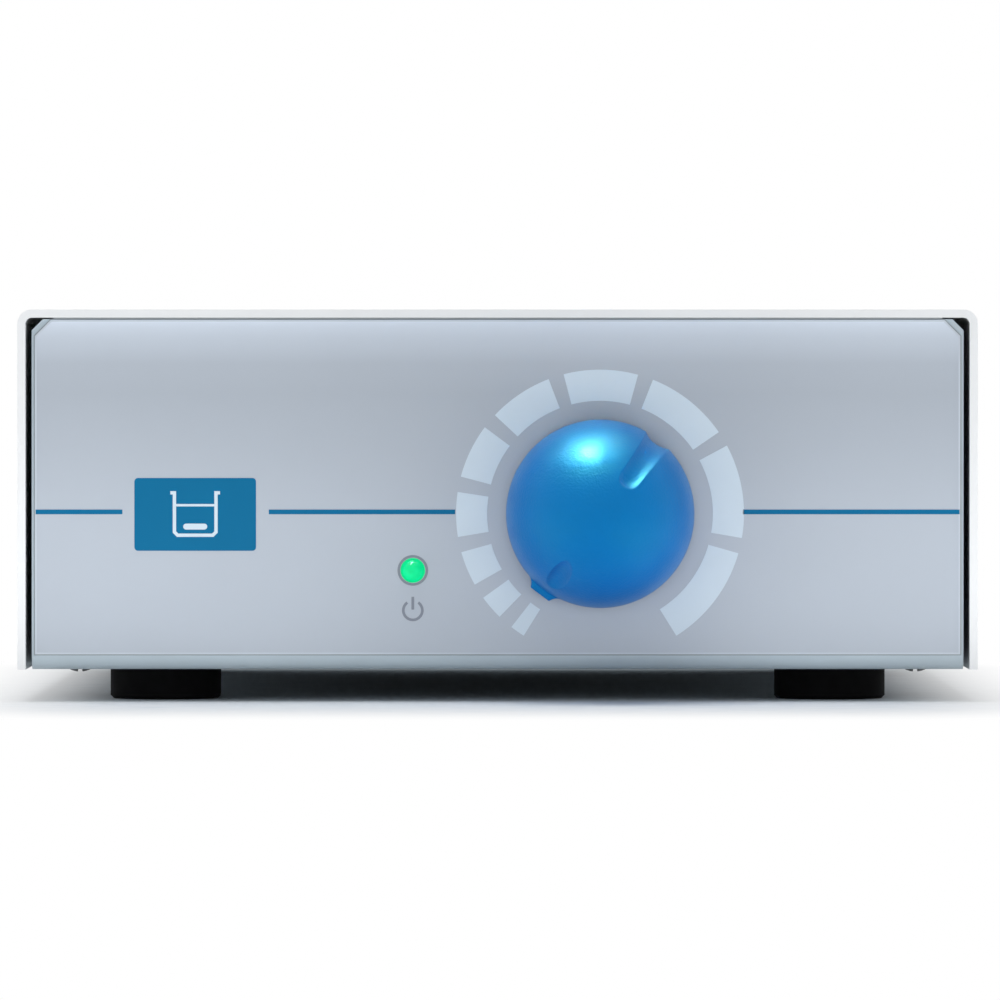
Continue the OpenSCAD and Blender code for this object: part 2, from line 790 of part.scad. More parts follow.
module pot_can() {
    color("silver") on_front(knob_x, knob_z) difference() {
        translate([0, 0, pot_back]) cylinder(r = pot_r, h = pot_d);
        translate([0, 0, pot_back + pot_wall]) cylinder(r = pot_core_r, h = pot_d);
        translate([-pot_tongue_w / 2 - 0.1, -pot_r - cut, pot_wafer_back - pot_lug_t - 0.3])
            cube([pot_tongue_w + 0.2, pot_r, pot_d]);
    }
}

// Click switch behind the potentiometer, opened at the knob's start stop
module pot_switch() {
    color("dimgray") on_front(knob_x, knob_z) translate([0, 0, pot_back - pot_switch_d]) {
        cylinder(r = pot_r - 0.8, h = pot_switch_d);
        both_x(switch_lug_at) translate([-pot_lug_w / 2, -switch_lug_drop - pot_lug_t / 2, -switch_lug_len])
            cube([pot_lug_w, pot_lug_t, switch_lug_len]);
    }
}

module pot_washer() {
    color("silver") on_front(knob_x, knob_z) ring(pot_washer_r, pot_bush_r + bush_pass, pot_washer_t);
}

module pot_nut() {
    color("silver") on_front(knob_x, knob_z) translate([0, 0, pot_washer_t])
        hex_nut(pot_nut_af, pot_nut_t, pot_bush_r + seat);
}

// ---- pilot lamp ----

module led() {
    color("springgreen") on_front(led_x, led_z) rotate_extrude() {
        translate([0, -chassis_t - led_flange_t]) square([led_flange_r, led_flange_t]);
        translate([0, -chassis_t - 0.1]) square([led_r, led_tip - led_r + chassis_t + 0.1]);
        intersection() {
            translate([0, led_tip - led_r]) circle(led_r);
            translate([0, led_tip - led_r]) square([led_r, led_r]);
        }
    }
}

module led_spacer() {
    color("black") on_front(led_x, led_z) translate([0, 0, -chassis_t - led_flange_t - led_spacer_len])
        difference() {
            cylinder(r = led_flange_r, h = led_spacer_len);
            for (s = [-1, 1]) translate([s * led_lead_at, 0, led_spacer_len / 2])
                cube([led_lead_w + 2 * run, led_lead_w + 2 * run, led_spacer_len + 2 * cut], center = true);
        }
}

// Two square leads, bent down onto the board
module led_leads() {
    back = -chassis_t - led_lead_back;
    color("silver") on_front(led_x, led_z) for (s = [-1, 1])
        translate([s * led_lead_at - led_lead_w / 2, 0, 0]) {
            translate([0, -led_lead_w / 2, back])
                cube([led_lead_w, led_lead_w, led_lead_back - led_flange_t]);
            translate([0, pcb_top - led_z, back])
                cube([led_lead_w, led_z - pcb_top + led_lead_w / 2, led_lead_w]);
        }
}

// ---- power inlet ----

module jack_body() {
    color("black") on_rear(jack_x, jack_z) difference() {
        union() {
            cylinder(r = jack_flange_r, h = jack_flange_t);
            translate([0, 0, jack_back]) cylinder(r = jack_r, h = -jack_back + jack_flange_t / 2);
        }
        translate([0, 0, jack_floor]) cylinder(r = jack_bore_r, h = jack_bore_d + cut);
        translate([0, 0, jack_back]) hole(jack_stem_r + seat, jack_floor - jack_back);
        translate([-jack_slot_w / 2, jack_bore_r - jack_leaf_t, jack_back - cut])
            cube([jack_slot_w, jack_leaf_t + jack_slot_depth, -jack_back + cut - chassis_t]);
    }
}

module jack_pin() {
    color("gold") on_rear(jack_x, jack_z) {
        translate([0, 0, jack_floor]) cylinder(r = jack_pin_r, h = jack_pin_tip - jack_floor);
        translate([0, 0, jack_back - jack_lug_len])
            cylinder(r = jack_stem_r, h = jack_floor - jack_back + jack_lug_len);
    }
}

// Spring leaf in the bore's slot, with its soldering lug
module jack_contact() {
    color("gold") on_rear(jack_x, jack_z)
        translate([-jack_leaf_w / 2, jack_bore_r - 0.2, jack_back - jack_lug_len])
            cube([jack_leaf_w, jack_leaf_t, jack_lug_len - jack_back - chassis_t - 1]);
}

module jack_nut() {
    color("silver") on_rear(jack_x, jack_z) translate([0, 0, -chassis_t - jack_nut_t])
        hex_nut(jack_nut_af, jack_nut_t, jack_r + seat);
}

// ---- circuit board ----

module pcb() {
    color("seagreen") difference() {
        translate([pcb_x, pcb_y, pcb_z]) cube([pcb_w, pcb_d, pcb_t]);
        for (p = pcb_places) on_board(p) translate([0, 0, -pcb_t]) hole(m25_r + pass, pcb_t);
    }
}

module pcb_standoffs() {
    color("silver") for (p = pcb_places) on_board(p) translate([0, 0, -pcb_t - standoff_h])
        ring(standoff_r, m25_r + seat, standoff_h);
}

module pcb_screws() {
    color("silver") for (p = pcb_places) on_board(p) rotate([180, 0, 0])
        pan_screw(m25_r, pcb_screw_len, m25_head_r, m25_head_h);
}

module capacitors() {
    color("midnightblue") for (c = capacitor_sizes) on_board(c) difference() {
        cylinder(r = c[2], h = c[3]);
        translate([0, 0, crimp_z]) difference() {
            cylinder(r = c[2] + cut, h = crimp_h);
            cylinder(r = c[2] - crimp_depth, h = crimp_h);
        }
    }
}

module ic_chip() {
    color("black") on_board(ic_place) {
        translate([0, 0, ic_pin_w]) cube(ic_size);
        for (i = [0 : 3], y = [-ic_pin_w / 2, ic_size[1] - ic_pin_w / 2])
            translate([ic_size[0] / 2 + (i - 1.5) * pin_pitch - ic_pin_w / 2, y, 0])
                cube([ic_pin_w, ic_pin_w, ic_size[2] / 2 + ic_pin_w]);
    }
}

module heat_sink() {
    color("dimgray") on_board(sink_place) {
        cube([sink_size[0], sink_wall, sink_size[2]]);
        for (x = [0, sink_size[0] - sink_wall])
            translate([x, 0, 0]) cube([sink_wall, sink_size[1], sink_size[2]]);
    }
}

// Power transistor standing against the heat sink's back wall
module transistor() {
    color("black") on_board(sink_place) translate([sink_size[0] / 2, sink_wall, 0]) {
        translate([-transistor_size[0] / 2, 0, transistor_z]) {
            cube(transistor_size);
            cube(transistor_tab);
        }
        for (i = [-1 : 1]) translate([i * pin_pitch - transistor_leg[0] / 2, transistor_tab[1] + 0.5, 0])
            cube(transistor_leg);
    }
}

module trimmer() {
    color("royalblue") on_board(trimmer_place) {
        cube(trimmer_size);
        translate([trimmer_screw_x, trimmer_size[1] / 2, trimmer_size[2] - 0.1])
            cylinder(r = trimmer_screw_r, h = 0.9);
    }
}

module resistors() {
    lead_w = 2 * lead_r;
    color("burlywood") for (i = [0 : resistor_count - 1]) on_board(resistor_row + [i * resistor_pitch, 0])
        translate([0, 0, resistor_r]) rotate([-90, 0, 0]) {
            cylinder(r = lead_r, h = resistor_span);
            translate([0, 0, (resistor_span - resistor_len) / 2])
                cylinder(r = resistor_r, h = resistor_len);
            for (z = [0, resistor_span])
                translate([-lead_r, 0, z - lead_r]) cube([lead_w, resistor_r, lead_w]);
        }
}

module pcb_headers() {
    color("ivory") for (p = header_places) on_board(p) cube(header_size);
}

module wire_plugs() {
    color("white") for (p = header_places) on_board(p)
        translate([header_size[0] / 2, header_size[1] / 2, header_size[2] + plug_size[2] / 2])
            cube(plug_size, center = true);
}

// ---- wires ----

// Rear face of a plug, where wire number s (-1 or 1) enters
function plug_mouth(header, s) = [
    pcb_x + header[0] + header_size[0] / 2 + s * pin_pitch / 2,
    pcb_y + header[1] + (header_size[1] + plug_size[1]) / 2,
    pcb_top + header_size[2] + plug_size[2] / 2
];

// From the inlet's lugs forward along the floor, past the bridge, and up into the plug
module dc_wires() {
    lug_y = rear_y + jack_back - jack_lug_len;
    z = wire_lane_z;
    for (s = [-1, 1]) color(s < 0 ? "black" : "red") {
        start = s < 0 ? [jack_x, lug_y, jack_z] : [jack_x, lug_y, jack_z - jack_bore_r];
        x = dc_lane_x + wire_gap * s;
        mouth = plug_mouth(dc_header, s);
        wire([
            start, start - [0, dc_drop[0], 0],
            [(jack_x + x) / 2, lug_y - dc_drop[1] + dc_spread * s, (jack_z + z) / 2],
            [x, lug_y - dc_drop[2], z + wire_low], [x, lug_y - dc_drop[2] - wire_settle, z], [x, mid_y, z],
            [x, mid_y - dc_rise, z], [x, mid_y - dc_rise - wire_settle, z + wire_low],
            [(x + mouth[0]) / 2, mouth[1] + dc_turn, (z + mouth[2]) / 2],
            mouth + [0, plug_straight[0], 0], mouth
        ], wire_r);
    }
}

// From the brush lugs forward under the motor, then along the gap behind the board
module motor_wires() {
    for (s = [-1, 1]) color(s < 0 ? "black" : "red") {
        x = s * brush_lug_x;
        y = motor_lane_y + motor_gap * s;
        z = wire_lane_z;
        mouth = plug_mouth(motor_header, s);
        wire([
            [x, mid_y, motor_z - brush_lug_len],
            [x, mid_y - motor_drop, z], [x, mid_y - motor_drop - motor_run, z],
            [x + motor_turn[0], y, z], [mouth[0] - motor_turn[1], y, z + 1],
            [mouth[0], y - 0.5, z + motor_climb], mouth + [0, plug_straight[1], -0.5], mouth
        ], wire_r);
    }
}

module switch_wires() {
    lug_y = panel_y - pot_back + pot_switch_d + switch_lug_len;
    for (s = [-1, 1]) color(s < 0 ? "blue" : "white") {
        x = knob_x + s * switch_lug_at;
        start = [x, lug_y, knob_z - switch_lug_drop];
        wire([start, start + [0, 2, -1], [x, lug_y + 3, pcb_top + 4], [x, lug_y + 3, pcb_top]], wire_r);
    }
}

// ---- motor ----

module motor_can() {
    color("silver") on_axis(motor_z) difference() {
        union() {
            cylinder(r = motor_r, h = motor_h);
            cylinder(r = motor_boss_r, h = motor_h + motor_boss_h);
        }
        translate([0, 0, -cut]) cylinder(r = motor_core_r, h = motor_h - motor_wall + cut);
        cylinder(r = bush_r + seat, h = motor_h + motor_boss_h + cut);
        translate([0, 0, motor_h - motor_wall]) both_x(motor_screw_at) hole(m26_r + seat, motor_wall);
    }
}

module motor_pad() {
    color("black") on_axis(motor_top) difference() {
        ring(motor_r - 1, motor_boss_r + pass, pad_t);
        both_x(motor_screw_at) hole(m26_r + pass, pad_t);
    }
}

module motor_screws() {
    color("silver") on_axis(bridge_top) both_x(motor_screw_at)
        rotate([180, 0, 0]) pan_screw(m26_r, motor_screw_len, m26_head_r, m26_head_h);
}

// Triangle that opens from the origin towards +X by an angle to each side
module wedge(a, reach) {
    polygon([[0, 0], [reach, -reach * tan(a)], [reach, reach * tan(a)]]);
}

// Two ferrite arcs against the can's wall
module field_magnets() {
    color("dimgray") on_axis(field_z) difference() {
        ring(motor_core_r - seat, field_in_r, field_h);
        for (a = [0, 180]) rotate([0, 0, a]) translate([0, 0, -cut])
            linear_extrude(field_h + 2 * cut) wedge(field_gap_angle, motor_d);
    }
}

module motor_bushes() {
    color("peru") {
        on_axis(motor_top + motor_boss_h - bush_len) ring(bush_r, shaft_r + run, bush_len);
        on_axis(motor_z) ring(bush_r, shaft_r + run, endbell_t + endbell_boss_h);
    }
}

module motor_endbell() {
    color("ivory") on_axis(motor_z) difference() {
        union() {
            cylinder(r = motor_core_r - seat, h = endbell_t);
            cylinder(r = bush_r + 1.2, h = endbell_t + endbell_boss_h);
        }
        hole(bush_r + seat, endbell_t + endbell_boss_h);
        for (s = [-1, 1]) translate([s * brush_lug_x, 0, 0])
            cube([brush_leaf_t + 2 * seat, brush_w + 2 * seat, 2 * endbell_t + 2 * cut], center = true);
    }
}

// Each side: a leaf that runs from its lug up to a carbon brush
module brush_gear() {
    brush_z = commutator_z + 0.3;
    color("goldenrod") for (s = [-1, 1]) on_axis(0) translate([s * brush_lug_x, 0, 0]) {
        translate([-brush_leaf_t / 2, -brush_w / 2, motor_z - brush_lug_len])
            cube([brush_leaf_t, brush_w, brush_z + brush_w - motor_z + brush_lug_len]);
        translate([s > 0 ? -brush_len - brush_leaf_t / 2 : brush_leaf_t / 2, -brush_w / 2, brush_z])
            cube([brush_len, brush_w, brush_w]);
    }
}

module motor_shaft() {
    foot = 0.4;
    color("lightgray") on_axis(motor_z + foot) cylinder(r = shaft_r, h = yoke_top - motor_z - foot);
}

// Three-pole lamination stack
module armature_core() {
    color("slategray") on_axis(armature_z) difference() {
        linear_extrude(armature_h) {
            circle(armature_hub_r);
            for (a = [0, 120, 240]) rotate(a) {
                translate([0, -armature_arm_w / 2])
                    square([armature_r - armature_shoe_t / 2, armature_arm_w]);
                intersection() {
                    difference() {
                        circle(armature_r);
                        circle(armature_r - armature_shoe_t);
                    }
                    wedge(armature_shoe_angle, 2 * armature_r);
                }
            }
        }
        hole(shaft_r + seat, armature_h);
    }
}

// One winding round each arm of the core
module armature_coils() {
    from = armature_hub_r + coil_clear;
    to = armature_r - armature_shoe_t - coil_clear;
    gap_w = armature_arm_w + 2 * coil_gap;
    gap_h = armature_h + 2 * coil_gap;
    color("sienna") for (a = [0, 120, 240]) on_axis(armature_z - coil_gap) rotate([0, 0, a])
        translate([from, 0, 0]) difference() {
            translate([0, -gap_w / 2 - coil_t, -coil_t])
                cube([to - from, gap_w + 2 * coil_t, gap_h + 2 * coil_t]);
            translate([-cut, -gap_w / 2, 0]) cube([to - from + 2 * cut, gap_w, gap_h]);
        }
}

module commutator() {
    color("peru") on_axis(commutator_z) difference() {
        ring(commutator_r, shaft_r + seat, commutator_h);
        for (a = [60, 180, 300]) rotate([0, 0, a])
            translate([commutator_r - commutator_slot, -commutator_slot / 2, -cut])
                cube([2 * commutator_slot, commutator_slot, commutator_h + 2 * cut]);
    }
}

// ---- bridge ----

module motor_bridge() {
    leg_h = bridge_top - floor_z;
    color("silver") difference() {
        translate([0, mid_y + bridge_d / 2, floor_z]) rotate([90, 0, 0]) linear_extrude(bridge_d) {
            translate([-bridge_half, leg_h - bridge_t]) square([2 * bridge_half, bridge_t]);
            for (s = [-1, 1]) scale([s, 1]) {
                translate([bridge_leg_at, 0]) square([bridge_t, leg_h]);
                translate([bridge_leg_at, 0]) square([bridge_reach - bridge_leg_at, bridge_t]);
            }
        }
        for (p = bridge_places) translate([p[0], p[1], floor_z]) hole(m3_hole_r, bridge_t);
        on_axis(bridge_z) {
            hole(bridge_hole_r, bridge_t);
            both_x(motor_screw_at) hole(m26_r + pass, bridge_t);
        }
    }
}

module bridge_nuts() {
    color("silver") for (p = bridge_places) translate([p[0], p[1], floor_z + bridge_t])
        hex_nut(m3_nut_af, m3_nut_h, m3_r + seat);
}

// ---- magnet drive ----

module drive_hub() {
    color("lightgray") on_axis(hub_z) difference() {
        union() {
            cylinder(r = hub_r, h = hub_h);
            translate([0, 0, hub_h - hub_flange_t]) cylinder(r = hub_flange_r, h = hub_flange_t);
            cylinder(r = hub_spigot_r, h = hub_h + yoke_t);
        }
        hole(shaft_r + seat, hub_h + yoke_t);
        translate([0, 0, setscrew_z - hub_z]) rotate([0, 90, 0])
            cylinder(r = setscrew_r + seat, h = hub_r + cut);
        translate([0, 0, hub_h - hub_flange_t]) both_y(yoke_screw_at)
            hole(yoke_screw_r + seat, hub_flange_t);
    }
}

module hub_setscrew() {
    color("dimgray") on_axis(setscrew_z) rotate([0, 90, 0]) translate([0, 0, shaft_r + run]) difference() {
        cylinder(r = setscrew_r, h = hub_r - shaft_r - run);
        translate([0, 0, hub_r - shaft_r - setscrew_socket])
            cylinder(r = setscrew_r * 0.6, h = setscrew_socket + cut, $fn = 6);
    }
}

module magnet_yoke() {
    color("slategray") on_axis(yoke_z) difference() {
        union() {
            translate([-magnet_at, -yoke_w / 2, 0]) cube([2 * magnet_at, yoke_w, yoke_t]);
            both_x(magnet_at) cylinder(r = magnet_r, h = yoke_t);
        }
        hole(hub_spigot_r + seat, yoke_t);
        both_y(yoke_screw_at) hole(yoke_screw_r + pass, yoke_t);
    }
}

module yoke_screws() {
    color("silver") on_axis(yoke_top) both_y(yoke_screw_at) rotate([180, 0, 0])
        pan_screw(yoke_screw_r, yoke_t + hub_flange_t, yoke_screw_head_r, yoke_screw_head_h);
}

module drive_magnets() {
    color("gray") on_axis(yoke_top) both_x(magnet_at) cylinder(r = magnet_r, h = magnet_h);
}

// ---- the nodes ----

cover();
cover_tabs();
cover_screws();
chassis();
weld_studs();
front_overlay();
feet();
foot_screws();
foot_nuts();
knob();
knob_clip();
pot_shaft();
pot_rotor();
pot_bush();
pot_wafer();
pot_lugs();
pot_can();
pot_switch();
pot_washer();
pot_nut();
led();
led_spacer();
led_leads();
jack_body();
jack_pin();
jack_contact();
jack_nut();
pcb();
pcb_standoffs();
pcb_screws();
capacitors();
ic_chip();
transistor();
heat_sink();
trimmer();
resistors();
pcb_headers();
wire_plugs();
dc_wires();
motor_wires();
switch_wires();
motor_can();
motor_pad();
motor_screws();
field_magnets();
motor_bushes();
motor_endbell();
brush_gear();
motor_shaft();
armature_core();
armature_coils();
commutator();
motor_bridge();
bridge_nuts();
drive_hub();
hub_setscrew();
magnet_yoke();
yoke_screws();
drive_magnets();
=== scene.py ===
"""Looks of the compact magnetic stirrer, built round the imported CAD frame.

Metres, +Z up, front towards -Y. Prints and small shapes are written in mm and scaled by MM.
"""

import json
import math

import bpy
import numpy as np
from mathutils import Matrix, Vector


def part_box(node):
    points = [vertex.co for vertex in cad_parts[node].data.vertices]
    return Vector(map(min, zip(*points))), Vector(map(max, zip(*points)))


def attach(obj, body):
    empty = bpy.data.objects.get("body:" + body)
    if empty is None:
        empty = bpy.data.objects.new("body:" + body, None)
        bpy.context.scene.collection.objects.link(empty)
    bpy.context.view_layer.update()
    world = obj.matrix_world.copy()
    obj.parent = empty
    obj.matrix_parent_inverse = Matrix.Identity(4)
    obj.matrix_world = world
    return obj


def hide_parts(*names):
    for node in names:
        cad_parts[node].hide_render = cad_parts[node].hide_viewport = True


MM = 0.001
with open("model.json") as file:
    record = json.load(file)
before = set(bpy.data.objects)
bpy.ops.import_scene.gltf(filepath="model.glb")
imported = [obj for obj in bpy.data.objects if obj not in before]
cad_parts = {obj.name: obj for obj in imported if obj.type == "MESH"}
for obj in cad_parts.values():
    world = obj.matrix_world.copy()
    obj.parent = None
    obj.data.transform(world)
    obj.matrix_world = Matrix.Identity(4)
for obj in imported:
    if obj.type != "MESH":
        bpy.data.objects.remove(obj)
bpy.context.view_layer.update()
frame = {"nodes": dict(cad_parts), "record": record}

film_low, film_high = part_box("front_overlay")
knob_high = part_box("knob")[1]
lamp_low, lamp_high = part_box("led")
FILM_Y = film_low.y
KNOB_R = 11.75
KNOB_X, KNOB_Z = 0.0128, 0.0235
KNOB_SKIRT = 2.0
KNOB_Y0 = knob_high.y - KNOB_SKIRT * MM
LAMP_X, LAMP_Z = (lamp_low.x + lamp_high.x) / 2, (lamp_low.z + lamp_high.z) / 2


# ---- materials ----

class Nodes:
    """Short ways to add and join the nodes of one tree."""

    def __init__(self, tree):
        self.tree = tree

    def node(self, kind, inputs=None, **props):
        """New node; inputs maps a socket's name or place to its value or to what feeds it."""
        n = self.tree.nodes.new(kind)
        for key, value in props.items():
            setattr(n, key, value)
        for socket, value in (inputs or {}).items():
            if isinstance(value, bpy.types.NodeSocket):
                self.link(value, n.inputs[socket])
            else:
                n.inputs[socket].default_value = value
        return n

    def link(self, a, b):
        self.tree.links.new(a, b)

    def calculate(self, operation, *values):
        return self.node("ShaderNodeMath", dict(enumerate(values)), operation=operation).outputs[0]

    def multiply(self, a, b, share):
        """Colour a, multiplied by colour b to the given share."""
        inputs = {"Factor": share, "A": a, "B": b}
        return self.node("ShaderNodeMix", inputs, data_type="RGBA",
                         blend_type="MULTIPLY").outputs["Result"]

    def background_rays(self):
        """1 for the rays that see the background: from the camera, off gloss and through glass."""
        path = self.node("ShaderNodeLightPath")
        seen = path.outputs["Is Camera Ray"]
        for kind in ("Is Glossy Ray", "Is Transmission Ray"):
            seen = self.calculate("MAXIMUM", seen, path.outputs[kind])
        return seen


class Shader(Nodes):
    """A Principled material whose detail comes from procedural textures in object coordinates."""

    def __init__(self, name, color, rough, metallic=0.0, **fixed):
        self.mat = bpy.data.materials.new(name)
        self.mat.use_nodes = True
        super().__init__(self.mat.node_tree)
        self.out = next(n for n in self.tree.nodes if n.type == "OUTPUT_MATERIAL")
        self.bsdf = next(n for n in self.tree.nodes if n.type == "BSDF_PRINCIPLED")
        self.color = color
        self.bsdf.inputs["Base Color"].default_value = (*color, 1)
        self.bsdf.inputs["Roughness"].default_value = rough
        self.bsdf.inputs["Metallic"].default_value = metallic
        for socket, value in fixed.items():
            self.bsdf.inputs[socket.replace("_", " ")].default_value = value
        self.coords = self.node("ShaderNodeTexCoord").outputs["Object"]
        self.mat.diffuse_color = (*color, 1)

    def mapped(self, stretch):
        inputs = {"Vector": self.coords, "Scale": stretch}
        return self.node("ShaderNodeMapping", inputs).outputs["Vector"]

    def noise(self, scale, detail=3.0, stretch=(1, 1, 1)):
        inputs = {"Vector": self.mapped(stretch), "Scale": scale, "Detail": detail}
        return self.node("ShaderNodeTexNoise", inputs).outputs["Fac"]

    def cells(self, scale, stretch=(1, 1, 1)):
        inputs = {"Vector": self.mapped(stretch), "Scale": scale}
        return self.node("ShaderNodeTexVoronoi", inputs).outputs["Distance"]

    def bands(self, scale, axis="Z", distortion=0.0):
        inputs = {"Vector": self.coords, "Scale": scale, "Distortion": distortion}
        return self.node("ShaderNodeTexWave", inputs, bands_direction=axis).outputs["Fac"]

    def ramp(self, value, stops):
        n = self.node("ShaderNodeValToRGB", {"Fac": value})
        while len(n.color_ramp.elements) < len(stops):
            n.color_ramp.elements.new(0.5)
        for element, (at, color) in zip(n.color_ramp.elements, stops):
            element.position = at
            element.color = (*color, 1)
        return n.outputs["Color"]

    def tint(self, value, low, high=None, span=(0.3, 0.7)):
        """Base colour runs from low to high as value crosses span."""
        stops = [(span[0], low), (span[1], high or self.color)]
        self.link(self.ramp(value, stops), self.bsdf.inputs["Base Color"])

    def vary_rough(self, value, low, high):
        n = self.node("ShaderNodeMapRange", {"Value": value, "To Min": low, "To Max": high})
        self.link(n.outputs["Result"], self.bsdf.inputs["Roughness"])

    def bump(self, value, height, strength=1.0):
        """Adds to the bumps set before."""
        inputs = {"Height": value, "Distance": height, "Strength": strength}
        b = self.node("ShaderNodeBump", inputs)
        normal = self.bsdf.inputs["Normal"]
        if normal.links:
            self.link(normal.links[0].from_socket, b.inputs["Normal"])
        self.link(b.outputs["Normal"], normal)


def darker(color, share):
    return tuple(c * (1 - share) for c in color)


def powder_coat(name, color, rough):
    s = Shader(name, color, rough, Specular_IOR_Level=0.2)
    s.tint(s.noise(90, 4), darker(color, 0.03))
    s.vary_rough(s.noise(400, 2), rough - 0.05, rough + 0.05)
    s.bump(s.noise(1500, 2), 0.00004, 0.35)
    s.bump(s.noise(5200, 2), 0.000012, 0.3)
    return s.mat


def rolled_metal(name, color, rough, stretch=(1, 14, 14), grain=900, metallic=1.0):
    """Bare metal with a rolling or turning grain drawn out along the axis of least stretch."""
    s = Shader(name, color, rough, metallic)
    s.tint(s.noise(60, 5), darker(color, 0.1))
    s.vary_rough(s.noise(grain, 4, stretch), rough - 0.08, rough + 0.1)
    s.bump(s.noise(grain * 1.6, 3, stretch), 0.000004, 0.5)
    return s.mat


def moulded(name, color, rough, grain=3000, depth=0.00001, share=0.08, **fixed):
    s = Shader(name, color, rough, **fixed)
    s.tint(s.noise(220, 4), darker(color, share))
    s.vary_rough(s.noise(700, 2), rough - 0.05, rough + 0.06)
    s.bump(s.noise(grain, 2), depth, 0.4)
    return s.mat


def rubber(name, color, rough):
    s = Shader(name, color, rough, Specular_IOR_Level=0.12)
    s.tint(s.noise(600, 5), darker(color, 0.35))
    s.vary_rough(s.noise(900, 3), rough - 0.06, rough + 0.08)
    s.bump(s.noise(2600, 3), 0.00002, 0.5)
    return s.mat


def banded(name, color, dark, rough, scale, metallic, depth=0.00003):
    """Metal in thin layers or turns of wire, stacked along Z."""
    s = Shader(name, color, rough, metallic)
    waves = s.bands(scale, distortion=0.4)
    s.tint(waves, dark, color, (0.1, 0.55))
    s.vary_rough(s.noise(500, 3), rough - 0.06, rough + 0.1)
    s.bump(waves, depth, 0.6)
    return s.mat


def panel_film():
    """Silver-grey print under a fine-textured film, with painted light and shade in its tone:
    darker in a band over its upper part and lighter along its top edge.
    """
    color = (0.494, 0.548, 0.622)
    # Painted light and shade: the base colour is scaled by height, darker across the upper middle
    # and lighter at the top edge.
    light_and_shade_tones = [(0.0, 0.98), (0.20, 0.99), (0.40, 1.00), (0.62, 0.93), (0.78, 0.89), (0.87, 0.95),
             (0.95, 1.20), (1.0, 1.40)]
    s = Shader("panel_film", color, 0.36, Coat_Weight=0.10, Coat_Roughness=0.30)
    height = s.node("ShaderNodeSeparateXYZ", {0: s.coords}).outputs["Z"]
    span = {"Value": height, "From Min": film_low.z, "From Max": film_high.z}
    share = s.node("ShaderNodeMapRange", span).outputs["Result"]
    fade = s.ramp(share, [(at, tuple(c * k for c in color)) for at, k in light_and_shade_tones])
    mottle = s.ramp(s.noise(45, 3), [(0.3, (0.975, 0.975, 0.975)), (0.7, (1, 1, 1))])
    s.link(s.multiply(fade, mottle, 1.0), s.bsdf.inputs["Base Color"])
    s.vary_rough(s.noise(1200, 2), 0.33, 0.40)
    s.bump(s.cells(4200), 0.000006, 0.25)
    return s.mat


def knob_plastic():
    """Spark-finished blue plastic, whose fine grain breaks the highlight up."""
    color = (0.000, 0.120, 0.480)
    s = Shader("knob_plastic", color, 0.45, Specular_Tint=(0.0, 1.0, 0.9, 1),
               Specular_IOR_Level=1.0, Coat_Weight=0.16, Coat_Roughness=0.28)
    s.tint(s.noise(300, 4), darker(color, 0.05))
    s.vary_rough(s.noise(1800, 2), 0.36, 0.46)
    s.bump(s.noise(3000, 1), 0.00006, 0.55)
    s.bump(s.noise(1400, 2), 0.00003, 0.08)
    s.link(s.bsdf.inputs["Normal"].links[0].from_socket, s.bsdf.inputs["Coat Normal"])
    return s.mat


def lamp_lens():
    """Lit green lamp: even, with a faint core."""
    color = (0.0, 0.35, 0.12)
    s = Shader("lamp_lens", color, 0.35, Emission_Strength=0.62, Specular_IOR_Level=0.2)
    glow = s.ramp(s.noise(900, 1), [(0.3, (0.0, 0.86, 0.30)), (0.7, (0.005, 1.0, 0.40))])
    s.link(glow, s.bsdf.inputs["Emission Color"])
    s.tint(s.noise(500, 2), darker(color, 0.1))
    return s.mat


def printed(name, color, rough=0.4, gloss=0.1, level=0.5):
    """Ink on the film, with a slight mottle."""
    s = Shader(name, color, rough, Coat_Weight=gloss, Coat_Roughness=0.3, Specular_IOR_Level=level)
    s.tint(s.noise(160, 4), darker(color, 0.03))
    s.vary_rough(s.noise(1200, 2), rough - 0.04, rough + 0.05)
    s.bump(s.cells(4200), 0.000005, 0.2)
    return s.mat


def glass_fibre_board():
    color = (0.045, 0.20, 0.09)
    s = Shader("board_laminate", color, 0.3, Coat_Weight=0.4, Coat_Roughness=0.15)
    weave = s.cells(1400, (1, 1, 0.1))
    s.tint(weave, darker(color, 0.3), color, (0.1, 0.5))
    s.bump(weave, 0.00001, 0.4)
    return s.mat


def ink_banded_resistor():
    color, ink = (0.62, 0.50, 0.33), (0.30, 0.08, 0.03)
    s = Shader("resistor_body", color, 0.45)
    rings = s.ramp(s.bands(260, "X"), [(0.0, ink), (0.2, ink), (0.26, color), (1.0, color)])
    s.link(rings, s.bsdf.inputs["Base Color"])
    s.bump(s.noise(1500, 2), 0.00001, 0.3)
    return s.mat


